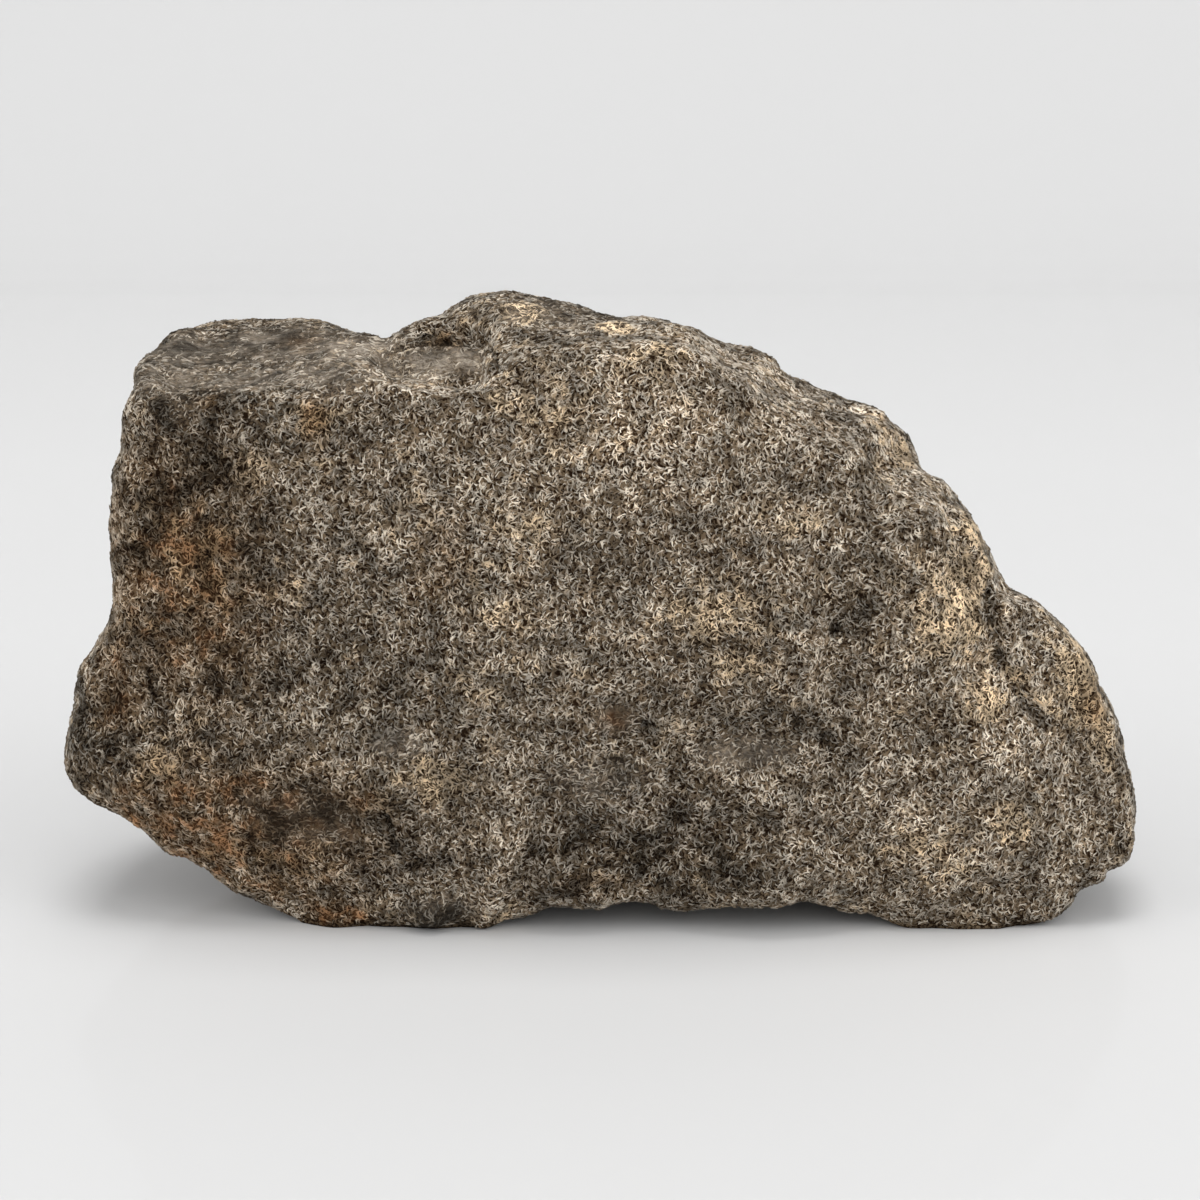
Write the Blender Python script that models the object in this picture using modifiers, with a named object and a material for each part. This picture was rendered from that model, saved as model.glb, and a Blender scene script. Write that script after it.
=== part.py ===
"""Stony meteorite end cut: the rounded end of a weathered stone, sawn off flat.

The stone stands on its lower edge, on small worn flats under two feet. Its broad natural
face looks along -Y and the sawn face along +Y. +Z is up, and the origin is on the floor,
under the middle of the stone. All the sizes below are in millimetres.
"""

import math

import bmesh
import bpy
import numpy as np
from mathutils import Vector, noise

MM = 0.001

# Driving sizes
WIDTH = 50.0  # across the stone, left corner to right end
BELLY = 2.0  # how far the broad face bulges in front of the feet
GIRTH_DEPTH = 7.5  # from the front of the feet back to the stone's girth
SAWN_DEPTH = 13.2  # from the front of the feet back to the sawn face
RIM_SHARPNESS = 8  # how late the broad face turns over at its rim
FOOT_WEAR = 0.25  # what is worn off under the feet, which leaves the flats it stands on
CENTRE = (0.0, 13.5)  # x and z of the middle of the outlines

# The rim of the broad face, clockwise as seen from the front: x, z, and depth behind the feet.
RIM = [
    # left foot and the chamfer that rises from it
    (-9.3, -1.2, -0.8),
    (-12.1, -0.5, 0.1),
    (-14.9, 0.3, 0.9),
    (-17.1, 1.5, 1.3),
    (-18.1, 2.5, 1.3),
    (-21.9, 4.8, 2.0),
    (-24.4, 6.4, 2.6),
    # left corner, waist and the side above it
    (-25.0, 7.4, 2.7),
    (-24.7, 9.1, 2.8),
    (-24.3, 10.8, 2.8),
    (-23.9, 12.2, 2.9),
    (-22.7, 14.2, 3.1),
    (-22.4, 15.6, 3.3),
    (-22.6, 18.0, 3.3),
    (-22.5, 20.0, 3.3),
    (-22.0, 22.2, 3.2),
    (-21.5, 23.9, 3.0),
    (-20.8, 25.7, 2.6),
    # front edge of the ledge, then the shelf beside the peak
    (-19.2, 25.5, 1.8),
    (-16.5, 25.1, 1.2),
    (-13.3, 25.5, 1.0),
    (-11.1, 26.0, 1.0),
    (-8.9, 26.5, 0.9),
    (-7.1, 26.5, 0.8),
    (-4.9, 26.6, 0.8),
    # the peak
    (-4.1, 27.0, 1.3),
    (-1.8, 27.3, 1.3),
    (0.4, 27.6, 1.3),
    (4.0, 27.5, 1.4),
    # front edge of the slope that runs down to the right
    (5.8, 26.6, 2.0),
    (7.4, 25.7, 2.0),
    (8.6, 24.8, 2.0),
    (9.9, 24.1, 2.0),
    (11.2, 23.5, 2.0),
    (12.3, 23.0, 2.2),
    (13.0, 22.2, 2.2),
    (13.6, 21.4, 2.4),
    (15.0, 20.9, 2.4),
    (16.4, 20.2, 2.4),
    (17.1, 18.8, 2.4),
    (17.8, 17.5, 2.4),
    (18.7, 16.0, 2.4),
    (20.0, 15.2, 2.2),
    # the lobe at the right and the step under it
    (21.5, 14.1, 2.0),
    (22.9, 12.1, 1.8),
    (24.2, 9.8, 1.7),
    (25.3, 7.2, 1.6),
    (25.6, 4.6, 1.5),
    (25.4, 3.1, 1.4),
    (24.1, 2.6, 1.2),
    (23.4, 2.0, 1.1),
    (21.4, 1.1, 0.6),
    # right foot, then the arch between the feet
    (19.2, 0.0, 0.0),
    (15.8, 0.0, 0.0),
    (13.0, 0.6, 0.0),
    (10.6, 1.2, 0.0),
    (7.4, 1.2, 0.0),
    (4.6, 1.1, 0.0),
    (1.8, 1.5, 0.0),
    (-1.4, 1.0, 0.0),
    (-3.7, 0.7, 0.0),
    (-6.0, -1.0, -0.6),
    (-7.6, -1.4, -1.0),
]

# The girth, at GIRTH_DEPTH, clockwise as seen from the front: x and z.
GIRTH = [
    (-10.5, 0.3),
    (-14.0, 0.6),
    (-17.8, 2.0),
    (-21.2, 4.4),
    (-24.1, 6.6),
    (-24.7, 8.6),
    (-24.1, 10.8),
    (-22.8, 12.9),
    (-21.3, 15.0),
    (-21.3, 18.0),
    (-21.9, 20.8),
    (-21.8, 23.6),
    (-21.3, 25.4),
    (-20.0, 26.6),
    (-17.6, 26.5),
    (-14.2, 27.0),
    (-11.3, 27.0),
    (-9.7, 25.7),
    (-9.0, 27.0),
    (-7.2, 28.2),
    (-5.5, 28.8),
    (-3.7, 29.2),
    (-0.9, 28.7),
    (1.9, 28.4),
    (4.8, 27.6),
    (7.5, 26.8),
    (8.9, 25.5),
    (10.3, 25.1),
    (12.0, 24.8),
    (13.4, 24.1),
    (14.6, 22.3),
    (15.8, 20.9),
    (17.1, 19.6),
    (17.7, 17.6),
    (19.0, 15.7),
    (21.7, 13.8),
    (23.4, 11.6),
    (24.7, 8.9),
    (25.7, 6.3),
    (25.5, 4.1),
    (23.0, 2.9),
    (21.0, 1.3),
    (18.4, 0.1),
    (15.0, 0.5),
    (12.0, 1.4),
    (8.0, 2.2),
    (3.0, 2.4),
    (-1.0, 1.6),
    (-4.5, 0.6),
    (-7.5, 0.4),
]

# The edge of the sawn face, clockwise as seen from the front: x and z.
SAWN_EDGE = [
    (-9.5, 0.4),
    (-13.0, 0.0),
    (-16.6, 1.0),
    (-19.8, 3.6),
    (-22.4, 6.0),
    (-23.1, 8.8),
    (-22.4, 11.6),
    (-20.9, 14.2),
    (-20.7, 17.2),
    (-21.3, 20.2),
    (-20.9, 23.6),
    (-20.6, 26.0),
    (-18.9, 27.3),
    (-16.4, 27.5),
    (-13.9, 27.3),
    (-11.8, 26.4),
    (-9.9, 25.2),
    (-8.8, 25.9),
    (-7.0, 27.2),
    (-4.8, 28.2),
    (-2.0, 27.8),
    (1.5, 26.9),
    (4.8, 25.7),
    (7.6, 24.8),
    (9.8, 23.0),
    (12.3, 21.2),
    (14.2, 18.6),
    (16.8, 16.2),
    (18.6, 13.4),
    (20.8, 11.4),
    (22.4, 8.4),
    (22.8, 5.4),
    (21.8, 2.8),
    (19.6, 0.6),
    (16.4, -0.1),
    (12.6, 1.6),
    (8.0, 3.0),
    (3.0, 2.6),
    (-1.5, 1.8),
    (-5.4, 1.0),
]

# Old breaks, each a plane that took a slice off the stone: a point on it and where it faces.
BREAKS = [
    ("left front", (-17.5, -0.1, 16.0), (-0.26, -0.965, 0.06)),
    ("lower front", (-4.0, -1.2, 2.6), (-0.02, -0.93, -0.37)),
    ("right front", (19.5, -0.1, 9.0), (0.27, -0.955, 0.12)),
    ("left side behind the corner", (-23.2, 11.0, 9.0), (-0.85, 0.50, 0.15)),
    ("left side behind the ledge", (-21.0, 11.5, 21.0), (-0.80, 0.58, 0.12)),
    ("back of the peak", (-1.0, 11.5, 27.7), (0.16, 0.42, 0.90)),
    ("upper slope", (10.6, 10.4, 24.7), (0.52, 0.42, 0.74)),
    ("lower slope", (17.7, 9.8, 17.4), (0.66, 0.44, 0.61)),
    ("behind the lobe", (24.1, 10.2, 7.5), (0.87, 0.45, 0.18)),
    ("under the left corner", (-20.3, 9.0, 3.5), (-0.42, 0.34, -0.84)),
]

# The step between the shelf and the peak: the corners of the piece that is missing there.
MISSING_PIECE = [
    (-9.9, -4.0, 26.1),
    (-4.6, -4.0, 26.0),
    (-4.9, 3.4, 25.6),
    (-9.6, 4.8, 25.7),
    (-10.6, -4.0, 31.0),
    (-3.4, -4.0, 31.0),
    (-4.0, 6.4, 31.0),
    (-10.0, 11.0, 31.0),
]

# Lumps and dents on the natural skin: what it is, its middle (x, depth, z),
# its radii along the same three axes, and its height, where a dent is negative.
LUMPS_AND_DENTS = [
    ("brow under the ledge", (-15.0, -0.5, 24.7), (6.5, 4.0, 1.5), 0.45),
    ("dent under the brow", (-17.4, -0.2, 22.4), (4.4, 4.0, 2.0), -0.60),
    ("left cheek", (-20.5, 1.5, 17.5), (4.0, 5.0, 5.0), 0.15),
    ("hollow of the left face", (-13.5, -1.5, 13.5), (6.0, 5.0, 4.0), -0.45),
    ("lower left lump", (-19.0, 1.0, 8.5), (5.5, 5.0, 3.4), 0.50),
    ("crack dent", (-10.0, -0.5, 5.4), (3.2, 4.0, 2.4), -0.50),
    ("upper middle swell", (1.5, -1.6, 22.0), (8.5, 5.0, 5.0), 0.50),
    ("middle swell", (-2.5, -2.0, 13.5), (5.0, 5.0, 6.0), 0.35),
    ("rib over the left foot", (-4.4, -0.8, 4.0), (1.7, 4.0, 4.2), 0.60),
    ("dent beside the rib", (0.8, -0.8, 3.6), (3.0, 4.0, 2.6), -0.45),
    ("blue-grey hollow", (6.4, -1.6, 9.2), (4.2, 5.0, 2.6), -0.65),
    ("groove beside the lobe", (11.6, -1.0, 12.6), (2.4, 5.0, 5.2), -0.85),
    ("groove foot", (10.4, -1.0, 8.4), (2.4, 5.0, 2.6), -0.55),
    ("lobe at the right", (18.0, 0.0, 8.0), (5.6, 5.0, 6.0), 0.60),
    ("crease round the lobe", (17.9, 0.4, 13.4), (1.5, 4.0, 3.2), -0.70),
    ("bulge above the crease", (13.4, -0.4, 18.2), (4.0, 4.0, 3.6), 0.40),
    ("hole at the back of the shelf", (-5.8, 3.4, 26.2), (1.5, 1.3, 0.8), -0.35),
    ("swell on the ledge", (-15.0, 8.0, 27.0), (4.4, 3.6, 2.0), 0.30),
    ("dip in the ledge", (-17.2, 4.0, 26.0), (3.4, 2.4, 2.0), -0.35),
    ("scoop in the left side", (-22.6, 8.5, 15.0), (3.0, 3.4, 4.0), -0.60),
    ("lump on the left side", (-22.6, 7.0, 20.8), (3.0, 3.6, 3.0), 0.30),
    ("scoop in the right side", (20.2, 8.5, 14.6), (3.4, 3.4, 3.2), -0.55),
    ("scoop in the right slope", (10.4, 8.0, 24.2), (3.2, 3.4, 2.2), -0.45),
    ("notch under the right end", (24.2, 1.0, 1.9), (1.6, 3.0, 1.2), -0.70),
    ("ridge along the peak", (-2.6, 5.6, 28.6), (3.8, 1.5, 1.5), 0.35),
    ("scoop behind the peak", (1.0, 9.6, 27.8), (4.2, 2.6, 1.8), -0.50),
    ("knob on the right slope", (7.4, 6.4, 26.6), (2.6, 2.6, 2.0), 0.40),
    ("low step on the right slope", (13.0, 8.4, 23.2), (2.2, 3.2, 1.8), 0.40),
    ("gutter down the right slope", (15.6, 5.6, 20.4), (2.4, 1.6, 2.6), -0.35),
    ("scoop in the side of the lobe", (24.4, 7.0, 9.6), (2.4, 3.0, 2.8), -0.50),
    ("knob under the lobe", (24.4, 6.4, 4.4), (2.4, 3.0, 2.2), 0.35),
    ("gutter down the left side", (-21.8, 5.6, 18.4), (2.2, 1.7, 4.4), -0.40),
    ("knob on the left corner", (-24.0, 6.4, 8.2), (2.2, 2.6, 2.2), 0.35),
    ("arch under the stone", (5.0, 8.0, 1.6), (6.5, 8.0, 1.8), -0.45),
]

# The form's own roughness: its size, its height, how sharp its ridges are from 0 to 1,
# and where in the noise it is read.
ROUGHNESS = [
    (9.0, 0.50, 0.0, Vector((11.3, 4.1, 7.7))),
    (4.6, 0.34, 0.7, Vector((2.9, 17.5, 5.2))),
    (2.6, 0.26, 0.6, Vector((31.0, 8.4, 19.6))),
    (1.6, 0.20, 0.3, Vector((7.2, 25.1, 3.9))),
]

AROUND = 220  # points around each ring of the blank
FACE_RINGS = 16  # rings across the broad face
WALL_RINGS = 12  # rings from the rim back to the sawn face
SPARE = 1.5  # what the saw takes off the blank
VOXEL = 0.45  # mesh of the worked blank
TRIANGLES = 8600  # what is kept of it


def closed_curve(points, steps=8):
    """Catmull-Rom curve through a closed ring of points, as an array."""
    ring = np.array(points, float)
    before, after, beyond = np.roll(ring, 1, 0), np.roll(ring, -1, 0), np.roll(ring, -2, 0)
    curve = []
    for step in range(steps):
        t = step / steps
        curve.append(
            0.5
            * (
                2 * ring
                + (after - before) * t
                + (2 * before - 5 * ring + 4 * after - beyond) * t**2
                + (3 * ring - before - 3 * after + beyond) * t**3
            )
        )
    return np.stack(curve, 1).reshape(-1, ring.shape[1])


def by_angle(points, angles):
    """Radius about CENTRE, and any third value, of a closed outline at these angles."""
    curve = closed_curve(points)
    across, up = curve[:, 0] - CENTRE[0], curve[:, 1] - CENTRE[1]
    bearing = np.arctan2(up, across)
    order = np.argsort(bearing)
    values = np.column_stack([np.hypot(across, up), curve[:, 2:]])[order]
    return [np.interp(angles, bearing[order], column, period=math.tau) for column in values.T]


def ring_of_points(radius, depth, angles):
    """Points at these radii about CENTRE, one at each angle."""
    across, up = CENTRE[0] + radius * np.cos(angles), CENTRE[1] + radius * np.sin(angles)
    return np.column_stack([across, depth * np.ones(AROUND), up])


def lofted_blank():
    """The stone before it breaks and weathers: the broad face, its rounded rim and the walls."""
    angles = np.linspace(-math.pi, math.pi, AROUND, endpoint=False)
    rim, rim_depth = by_angle(RIM, angles)
    (girth,) = by_angle(GIRTH, angles)
    (sawn,) = by_angle(SAWN_EDGE, angles)
    rings = []
    for step in range(1, FACE_RINGS + 1):
        share = math.sin(step / FACE_RINGS * math.pi / 2)
        rounding = 1 - math.sqrt(1 - share**RIM_SHARPNESS)
        bulge = -BELLY * (1 - share**2)
        rings.append(ring_of_points(rim * share, bulge + rim_depth * rounding, angles))
    back = SAWN_DEPTH + SPARE
    for step in range(1, WALL_RINGS + 1):
        depth = rim_depth + (back - rim_depth) * step / WALL_RINGS
        to_rim, to_girth, to_sawn = depth - rim_depth, depth - GIRTH_DEPTH, depth - SAWN_DEPTH
        front_part, back_part = GIRTH_DEPTH - rim_depth, SAWN_DEPTH - GIRTH_DEPTH
        radius = (
            rim * to_girth * to_sawn / (front_part * (front_part + back_part))
            - girth * to_rim * to_sawn / (front_part * back_part)
            + sawn * to_rim * to_girth / (back_part * (front_part + back_part))
        )
        rings.append(ring_of_points(radius, depth, angles))

    blank = bmesh.new()
    front_pole = blank.verts.new((CENTRE[0], -BELLY, CENTRE[1]))
    back_pole = blank.verts.new((CENTRE[0], back, CENTRE[1]))
    rows = [[blank.verts.new(point) for point in points] for points in rings]
    for this in range(AROUND):
        after = (this + 1) % AROUND
        blank.faces.new((front_pole, rows[0][this], rows[0][after]))
        blank.faces.new((back_pole, rows[-1][after], rows[-1][this]))
        for inner, outer in zip(rows, rows[1:]):
            blank.faces.new((inner[this], outer[this], outer[after], inner[after]))
    bmesh.ops.recalc_face_normals(blank, faces=blank.faces)
    return blank


def object_from(mesh_in_work, name, collection="meteorite_end_cut"):
    """A new object that holds this bmesh."""
    mesh = bpy.data.meshes.new(name)
    mesh_in_work.to_mesh(mesh)
    mesh_in_work.free()
    made = bpy.data.objects.new(name, mesh)
    bpy.data.collections[collection].objects.link(made)
    return made


def after_modifier(mesh_in_work, kind, **settings):
    """The bmesh that one modifier makes of this one."""
    source = object_from(mesh_in_work, "in_work")
    modifier = source.modifiers.new(kind.lower(), kind)
    for name, value in settings.items():
        setattr(modifier, name, value)
    graph = bpy.context.evaluated_depsgraph_get()
    mesh = bpy.data.meshes.new_from_object(source.evaluated_get(graph))
    bpy.data.objects.remove(source)
    result = bmesh.new()
    result.from_mesh(mesh)
    bpy.data.meshes.remove(mesh)
    return result


def cut_flat(stone, point, outward):
    """Cuts the stone at a plane, drops what is beyond it and closes the cut with one face."""
    everything = [*stone.verts, *stone.edges, *stone.faces]
    bmesh.ops.bisect_plane(
        stone, geom=everything, plane_co=point, plane_no=outward, dist=1e-5, clear_outer=True
    )
    open_edges = [edge for edge in stone.edges if edge.is_boundary]
    bmesh.ops.holes_fill(stone, edges=open_edges, sides=0)


def without_missing_piece(stone):
    """Takes the piece beside the peak out of the stone."""
    piece = bmesh.new()
    corners = [piece.verts.new(corner) for corner in MISSING_PIECE]
    bmesh.ops.convex_hull(piece, input=corners)
    bmesh.ops.recalc_face_normals(piece, faces=piece.faces)
    cutter = object_from(piece, "missing_piece", "cutters")
    cutter.hide_render = True
    cutter.display_type = "WIRE"
    bmesh.ops.triangulate(stone, faces=stone.faces)
    return after_modifier(stone, "BOOLEAN", operation="DIFFERENCE", object=cutter)


def fall_off(point, middle, radii):
    """1 at the middle of a lump and 0 at its edge, smooth at both."""
    distance = sum(((p - m) / r) ** 2 for p, m, r in zip(point, middle, radii))
    return (1 - distance) ** 2 if distance < 1 else 0.0


def rough_height(point):
    """Height of the form's own roughness at a point."""
    height = 0.0
    for size, amount, sharpness, place in ROUGHNESS:
        wave = noise.noise(point / size + place)
        ridge = 0.5 - 2 * abs(wave)
        height += amount * (wave * (1 - sharpness) + ridge * sharpness)
    return height


def weathered(stone):
    """Raises the lumps, presses in the dents and roughens the skin, along its normals."""
    for _, middle, radii, height in LUMPS_AND_DENTS:
        stone.normal_update()
        moves = [
            (vertex, vertex.normal * height * fall_off(vertex.co, middle, radii))
            for vertex in stone.verts
        ]
        for vertex, move in moves:
            vertex.co += move
    stone.normal_update()
    moves = [(vertex, vertex.normal * rough_height(vertex.co)) for vertex in stone.verts]
    for vertex, move in moves:
        vertex.co += move


def centred(stone):
    """Scales the stone to WIDTH, in metres, and puts its middle over the origin."""
    points = np.array([vertex.co for vertex in stone.verts])
    low, high = points.min(0), points.max(0)
    scale = WIDTH / (high[0] - low[0]) * MM
    middle = Vector(((low[0] + high[0]) / 2, (low[1] + high[1]) / 2, low[2]))
    for vertex in stone.verts:
        vertex.co = (vertex.co - middle) * scale


def stone_material():
    """Dry weathered stone: dull grey-brown."""
    material = bpy.data.materials.new("weathered_stone")
    material.use_nodes = True
    surface = material.node_tree.nodes["Principled BSDF"]
    surface.inputs["Base Color"].default_value = (0.155, 0.130, 0.100, 1.0)
    surface.inputs["Roughness"].default_value = 0.9
    surface.inputs["Metallic"].default_value = 0.0
    return material


def build():
    """Models the meteorite end cut as one solid."""
    for old in list(bpy.data.objects):
        bpy.data.objects.remove(old)
    for name in ("meteorite_end_cut", "cutters"):
        bpy.context.scene.collection.children.link(bpy.data.collections.new(name))

    stone = lofted_blank()
    for _, point, outward in BREAKS:
        cut_flat(stone, point, outward)
    stone = without_missing_piece(stone)
    stone = after_modifier(stone, "REMESH", mode="VOXEL", voxel_size=VOXEL)
    weathered(stone)
    faces = sum(len(face.verts) - 2 for face in stone.faces)
    stone = after_modifier(stone, "DECIMATE", ratio=TRIANGLES / faces)

    cut_flat(stone, (0, SAWN_DEPTH, 0), (0, 1, 0))
    cut_flat(stone, (0, 0, FOOT_WEAR), (0, 0, -1))
    bmesh.ops.triangulate(stone, faces=stone.faces, ngon_method="BEAUTY")
    centred(stone)
    bmesh.ops.recalc_face_normals(stone, faces=stone.faces)

    end_cut = object_from(stone, "stone")
    end_cut.data.materials.append(stone_material())
    end_cut.data.shade_smooth()
    end_cut.data.set_sharp_from_angle(angle=math.radians(40))


build()
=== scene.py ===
# %% [markdown]
# # A meteorite end cut
# This is the rounded end of a stony meteorite, about 50 mm across. One side was sawn off flat
# and the rest is old, weathered skin: fine pale grains on dark brown stone, with rust.
# The imported solid already has the stone's form. This script loads it, grows a fine skin on a
# copy of it, presses in the small features, paints where each colour lies and where shade and
# light are painted on, scatters the grains, and then lights and frames the stone as in the photograph.

# %% Load the solid and keep its box
import math

import bmesh
import bpy
import numpy as np
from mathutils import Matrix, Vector, noise
from mathutils.bvhtree import BVHTree


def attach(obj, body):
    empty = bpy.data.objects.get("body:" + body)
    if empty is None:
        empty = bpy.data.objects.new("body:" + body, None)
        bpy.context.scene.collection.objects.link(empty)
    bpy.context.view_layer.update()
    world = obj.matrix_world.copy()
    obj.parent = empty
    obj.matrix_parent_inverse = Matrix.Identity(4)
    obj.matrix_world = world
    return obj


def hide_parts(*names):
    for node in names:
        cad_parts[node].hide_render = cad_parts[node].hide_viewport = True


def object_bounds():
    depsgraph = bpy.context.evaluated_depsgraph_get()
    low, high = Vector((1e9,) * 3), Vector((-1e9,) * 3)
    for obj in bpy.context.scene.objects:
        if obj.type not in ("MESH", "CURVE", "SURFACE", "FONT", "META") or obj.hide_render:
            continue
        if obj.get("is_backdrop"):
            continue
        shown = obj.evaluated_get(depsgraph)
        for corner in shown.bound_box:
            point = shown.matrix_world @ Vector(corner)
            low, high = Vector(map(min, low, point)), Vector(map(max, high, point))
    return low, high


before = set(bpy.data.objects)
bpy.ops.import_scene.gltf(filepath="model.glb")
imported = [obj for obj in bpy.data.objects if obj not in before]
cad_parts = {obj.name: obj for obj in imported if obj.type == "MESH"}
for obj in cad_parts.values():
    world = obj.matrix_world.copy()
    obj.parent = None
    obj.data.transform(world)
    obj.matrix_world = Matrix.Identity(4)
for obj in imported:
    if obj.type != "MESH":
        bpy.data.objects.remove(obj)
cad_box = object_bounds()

MM = 0.001
print("solid's box, mm:", [[round(v / MM, 2) for v in corner] for corner in cad_box])

# %% [markdown]
# ## Where the camera stands
# Features are easiest to name by the pixel where the photograph shows them, so the camera comes
# first. A 75 mm lens at 111 mm from the stone gives the strong perspective of a close-up. It
# looks down by 13.5 degrees. A ray through a pixel then finds the place on the stone itself, so
# nothing is painted on the picture plane: every feature sits on the surface from any side.

# %% Set the camera up
PHOTO_PIXELS = 1200
LENS, SENSOR = 75.0, 36.0  # mm
MM_PER_PIXEL = 0.0443  # at the camera's target
LOOKS_DOWN = math.radians(13.5)
TARGET = Vector((-0.30, -5.56, 15.55)) * MM

pixels_to_target = LENS / SENSOR * PHOTO_PIXELS
away = Vector((0.0, -math.cos(LOOKS_DOWN), math.sin(LOOKS_DOWN)))
camera_place = TARGET + away * pixels_to_target * MM_PER_PIXEL * MM

lens = bpy.data.cameras.new("camera")
lens.lens, lens.sensor_width = LENS, SENSOR
lens.clip_start, lens.clip_end = 0.01, 10.0
camera = bpy.data.objects.new("camera", lens)
camera.location = camera_place
camera.rotation_euler = away.to_track_quat("Z", "Y").to_euler()
bpy.context.scene.collection.objects.link(camera)
bpy.context.scene.camera = camera
print("camera at, mm:", [round(v / MM, 1) for v in camera_place])


# %% A ray through a pixel of the photograph
def seen_at(tree, across, down):
    """The point of the stone that the photograph shows at this pixel, and its normal."""
    middle = PHOTO_PIXELS / 2
    up = Vector((0.0, math.sin(LOOKS_DOWN), math.cos(LOOKS_DOWN)))
    ray = Vector((1, 0, 0)) * (across - middle) - up * (down - middle) - away * pixels_to_target
    place, normal, _, _ = tree.ray_cast(camera_place, ray.normalized())
    return place, normal


def seen_as(points):
    """The pixels at which the photograph shows these points: across and down."""
    up = np.array([0.0, math.sin(LOOKS_DOWN), math.cos(LOOKS_DOWN)])
    from_camera = points - np.array(camera_place)
    pixels_per_metre = -pixels_to_target / (from_camera @ np.array(away))
    middle = PHOTO_PIXELS / 2
    return middle + from_camera[:, 0] * pixels_per_metre, middle - (from_camera @ up) * pixels_per_metre


# %% [markdown]
# ## The skin's mesh
# The solid has about 7,000 flat triangles, 1 mm across, which is too coarse for crumbly stone.
# Its node isn't changed: a copy is merged into one closed mesh and subdivided twice. The rims of
# the sawn face and of the worn flats under the feet are creased first, so they stay crisp.

# %% Merge a copy of the solid and find its flats
SAME_PLANE = 0.002 * MM
SAWN_BAND = 0.8 * MM

stone_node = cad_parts["stone"]
form = bmesh.new()
form.from_mesh(stone_node.data)
bmesh.ops.remove_doubles(form, verts=form.verts, dist=0.001 * MM)
sawn_depth = max(vertex.co.y for vertex in form.verts)


def lies_on_saw_cut(face):
    return all(abs(vertex.co.y - sawn_depth) < SAME_PLANE for vertex in face.verts)


def lies_on_floor(face):
    return all(abs(vertex.co.z) < SAME_PLANE for vertex in face.verts)


sawn_faces = [face for face in form.faces if lies_on_saw_cut(face)]
foot_faces = [face for face in form.faces if lies_on_floor(face)]
bmesh.ops.inset_region(form, faces=sawn_faces, thickness=SAWN_BAND, use_even_offset=False)
crease = form.edges.layers.float.new("crease_edge")
creased = 0
for edge in form.edges:
    for on_flat in (lies_on_saw_cut, lies_on_floor):
        if [on_flat(face) for face in edge.link_faces].count(True) == 1:
            edge[crease] = 1.0
            creased += 1
print(len(sawn_faces), "sawn faces,", len(foot_faces), "foot faces,", creased, "creased edges")

# %% Two finishes on one mesh: the natural skin and the saw cut
skin_finish = bpy.data.materials.new("weathered_skin")
cut_finish = bpy.data.materials.new("sawn_stone")
for face in form.faces:
    face.material_index = 1 if lies_on_saw_cut(face) else 0
    face.smooth = True

skin_mesh = bpy.data.meshes.new("stone_skin")
form.to_mesh(skin_mesh)
form.free()
skin_mesh.materials.append(skin_finish)
skin_mesh.materials.append(cut_finish)
skin = bpy.data.objects.new("stone_skin", skin_mesh)
bpy.context.scene.collection.objects.link(skin)


# %% Helpers that build a node tree
def place_node(tree, kind, inputs=None, **settings):
    """Adds a node, sets it up, and fills or joins its inputs by name or number."""
    made = tree.nodes.new(kind)
    for name, value in settings.items():
        setattr(made, name, value)
    for name, value in (inputs or {}).items():
        if isinstance(value, bpy.types.NodeSocket):
            tree.links.new(value, made.inputs[name])
        else:
            made.inputs[name].default_value = value
    return made


def maths(tree, operation, first, second=0.0, third=0.0, clamp=False):
    """One Math node; gives its result."""
    inputs = {0: first, 1: second, 2: third}
    return place_node(tree, "ShaderNodeMath", inputs, operation=operation, use_clamp=clamp).outputs[0]


def scaled(tree, vector, factor):
    """A vector times a number."""
    inputs = {0: vector, "Scale": factor}
    return place_node(tree, "ShaderNodeVectorMath", inputs, operation="SCALE").outputs[0]


def geometry_tree(name, sizes):
    """A Geometry Nodes tree with named inputs; gives the tree and its group input's outputs."""
    tree = bpy.data.node_groups.new(name, "GeometryNodeTree")
    tree.interface.new_socket("Geometry", in_out="INPUT", socket_type="NodeSocketGeometry")
    for label, value in sizes.items():
        kind = "NodeSocketInt" if isinstance(value, int) else "NodeSocketFloat"
        tree.interface.new_socket(label, in_out="INPUT", socket_type=kind).default_value = value
    tree.interface.new_socket("Geometry", in_out="OUTPUT", socket_type="NodeSocketGeometry")
    return tree, place_node(tree, "NodeGroupInput").outputs


def use_tree(target, tree, sizes):
    """Puts the tree on an object as a modifier and sets its inputs by their identifiers."""
    modifier = target.modifiers.new(tree.name, "NODES")
    modifier.node_group = tree
    for socket in tree.interface.items_tree:
        if socket.name in sizes:
            modifier[socket.identifier] = sizes[socket.name]
    return modifier


def made_plain(source, name):
    """A plain mesh object of what the modifiers make; the source and its modifiers go."""
    graph = bpy.context.evaluated_depsgraph_get()
    mesh = bpy.data.meshes.new_from_object(source.evaluated_get(graph))
    bpy.data.objects.remove(source)
    mesh.name = name
    plain = bpy.data.objects.new(name, mesh)
    bpy.context.scene.collection.objects.link(plain)
    return plain


def triangles_in(piece):
    return sum(len(polygon.vertices) - 2 for polygon in piece.data.polygons)


# %% [markdown]
# ## Broad planes and crisp creases
# Stone breaks in planes, and where two planes meet there is a crease. Smoothing the coarse
# triangles rounded those creases off, so the broad planes are scraped flat again, as a sculptor
# would: all the points near a place that face the same way are moved most of the way to the one
# plane that fits them best. A few broad strokes then true the outline against the photograph.
# Most move it right or up. The two lips of the arch come nearer instead, and only in the front.

# %% Subdivide the merged copy
finer = skin.modifiers.new("finer", "SUBSURF")
finer.levels = finer.render_levels = 2


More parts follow.
